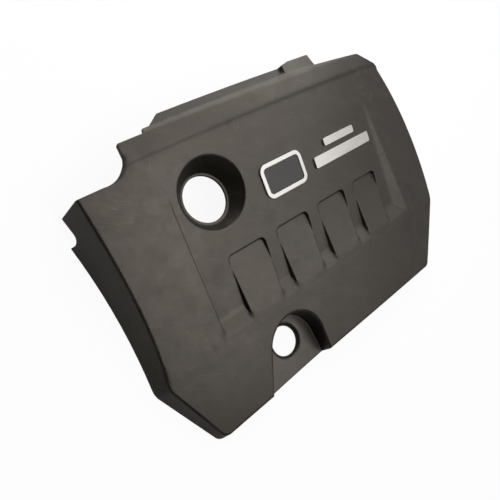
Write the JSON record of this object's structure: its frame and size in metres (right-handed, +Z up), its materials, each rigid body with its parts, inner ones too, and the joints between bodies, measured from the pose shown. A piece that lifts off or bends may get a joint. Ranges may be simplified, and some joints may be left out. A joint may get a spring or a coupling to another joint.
{
  "type": "engine cover",
  "caption": "Moulded plastic engine cover: crowned panel with finger pads, oil filler crater, dipstick pocket, drafted skirts and rubber grommets that push on ball studs.",
  "frame": {"origin": "middle of the overall box, on the plane of the skirt rim", "axes": "+X along the row of pads to the right, +Y to the back ridge, +Z up out of the panel"},
  "size_m": [0.4925, 0.328, 0.0731],
  "materials": {
    "cover_plastic": "matt dark brownish grey with a fine grain",
    "trim_silver": "satin silver",
    "grommet_rubber": "matt black"
  },
  "bodies": {
    "root": {"cover_shell": "cover_plastic", "badge_plate": "trim_silver", "upper_bar": "trim_silver", "lower_bar": "trim_silver", "grommet_back_left": "grommet_rubber", "grommet_back_right": "grommet_rubber", "grommet_front_left": "grommet_rubber", "grommet_front_right": "grommet_rubber"}
  },
  "joints": []
}
